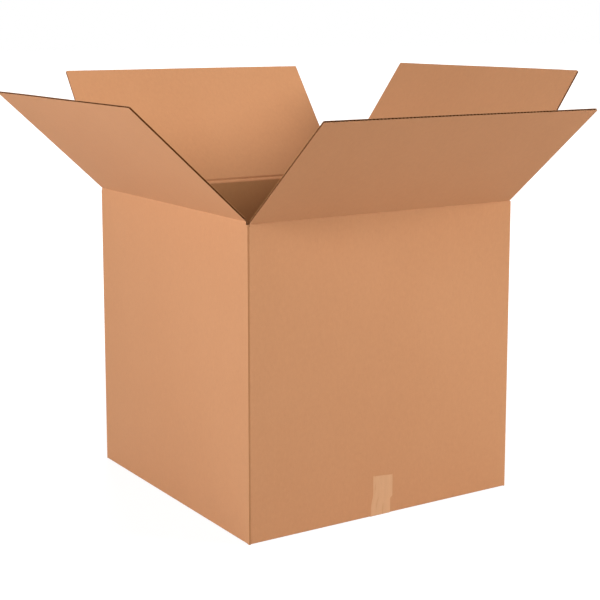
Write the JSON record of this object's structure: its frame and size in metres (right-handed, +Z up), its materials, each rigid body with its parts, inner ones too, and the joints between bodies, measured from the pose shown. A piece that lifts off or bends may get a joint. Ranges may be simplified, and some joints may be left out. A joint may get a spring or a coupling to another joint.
{
  "type": "open cardboard box",
  "caption": "Large cube-shaped corrugated cardboard box, open at the top with its flaps tilted outwards and its bottom seam taped.",
  "frame": {"origin": "middle of the box's footprint on the floor, on the underside of the bottom seam's tape", "axes": "+X to the right along the front wall, -Y out of the front wall, -X out of the left wall, +Z up"},
  "size_m": [1.0636, 1.0871, 0.8909],
  "materials": {
    "board": "matte",
    "tape": "satin"
  },
  "bodies": {
    "box_body": {"box_body": "board", "seam_tape": "tape"},
    "front_flap": {"front_flap": "board"},
    "back_flap": {"back_flap": "board"},
    "left_flap": {"left_flap": "board"},
    "right_flap": {"right_flap": "board"}
  },
  "joints": [
    {"name": "front_flap_crease", "type": "hinge", "parent": "box_body", "child": "front_flap", "pos_m": [0, -0.3215, 0.6223], "axis": [1, 0, 0], "range_deg": [-140.9, 119.1]},
    {"name": "back_flap_crease", "type": "hinge", "parent": "box_body", "child": "back_flap", "pos_m": [0, 0.3215, 0.6223], "axis": [-1, 0, 0], "range_deg": [-127.4, 132.6]},
    {"name": "left_flap_crease", "type": "hinge", "parent": "box_body", "child": "left_flap", "pos_m": [-0.3215, 0, 0.6266], "axis": [0, -1, 0], "range_deg": [-137.1, 122.9]},
    {"name": "right_flap_crease", "type": "hinge", "parent": "box_body", "child": "right_flap", "pos_m": [0.3215, 0, 0.6266], "axis": [0, 1, 0], "range_deg": [-125.3, 134.7]}
  ]
}
